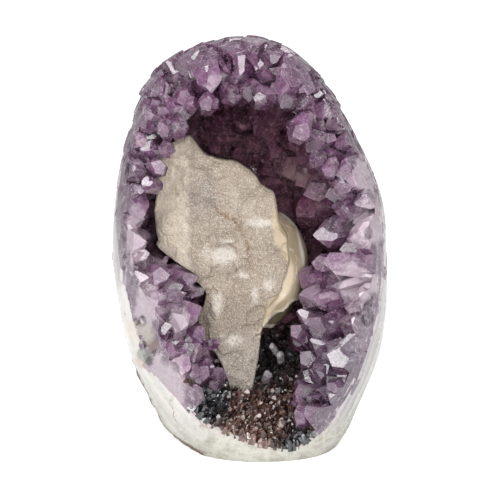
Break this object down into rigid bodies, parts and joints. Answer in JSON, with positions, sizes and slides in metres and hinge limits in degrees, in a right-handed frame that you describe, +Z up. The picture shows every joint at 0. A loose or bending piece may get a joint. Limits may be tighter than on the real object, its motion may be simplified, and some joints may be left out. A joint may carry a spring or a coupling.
{
  "type": "amethyst geode",
  "caption": "Egg-shaped amethyst geode on a flat cut base, polished agate rim around an open cavity lined with violet crystals, with a sugary calcite blade inside.",
  "frame": {"origin": "centre of the bounding box's footprint, on the flat base that the stone rests on", "axes": "+Z up, the open crystal face towards -Y, +X to the right of somebody looking into the cavity"},
  "size_m": [0.1028, 0.0882, 0.1475],
  "materials": {
    "basalt_rind": "rough natural rock skin, matt brown-grey",
    "polished_agate": "polished banded agate, cream to grey-lilac, glossy",
    "amethyst_bed": "grown-together violet quartz points, glossy facets",
    "amethyst": "translucent violet quartz, glossy facets",
    "dark_quartz": "fine dark brown-black sparkling quartz",
    "clear_quartz": "small clear grey points",
    "sugar_calcite": "cream-beige, sugary sparkling grain",
    "honey_calcite": "smooth translucent honey beige"
  },
  "bodies": {
    "root": {"agate_shell": "polished_agate", "amethyst_bed_vault_left": "amethyst_bed", "amethyst_bed_vault_right": "amethyst_bed", "amethyst_bed_wall_left": "amethyst_bed", "amethyst_bed_wall_right": "amethyst_bed", "amethyst_point_01": "amethyst", "amethyst_point_02": "amethyst", "amethyst_point_03": "amethyst", "amethyst_point_04": "amethyst", "amethyst_point_05": "amethyst", "amethyst_point_06": "amethyst", "amethyst_point_07": "amethyst", "amethyst_point_08": "amethyst", "amethyst_point_09": "amethyst", "amethyst_point_10": "amethyst", "amethyst_point_11": "amethyst", "amethyst_point_12": "amethyst", "amethyst_point_13": "amethyst", "amethyst_point_14": "amethyst", "amethyst_point_15": "amethyst", "amethyst_point_16": "amethyst", "amethyst_point_17": "amethyst", "amethyst_point_18": "amethyst", "amethyst_point_19": "amethyst", "amethyst_point_20": "amethyst", "amethyst_point_21": "amethyst", "amethyst_point_22": "amethyst", "amethyst_point_23": "amethyst", "amethyst_point_24": "amethyst", "amethyst_point_25": "amethyst", "amethyst_point_26": "amethyst", "amethyst_point_27": "amethyst", "amethyst_point_28": "amethyst", "amethyst_point_29": "amethyst", "amethyst_point_30": "amethyst", "amethyst_point_31": "amethyst", "amethyst_point_32": "amethyst", "amethyst_point_33": "amethyst", "amethyst_point_34": "amethyst", "amethyst_point_35": "amethyst", "amethyst_point_36": "amethyst", "amethyst_point_37": "amethyst", "amethyst_point_38": "amethyst", "amethyst_point_39": "amethyst", "amethyst_point_40": "amethyst", "amethyst_point_41": "amethyst", "basalt_rind": "basalt_rind", "calcite_blade": "sugar_calcite", "calcite_lobe": "honey_calcite", "dark_druse": "dark_quartz", "quartz_needle_1": "clear_quartz", "quartz_needle_2": "clear_quartz", "quartz_needle_3": "clear_quartz", "quartz_needle_4": "clear_quartz"}
  },
  "joints": []
}
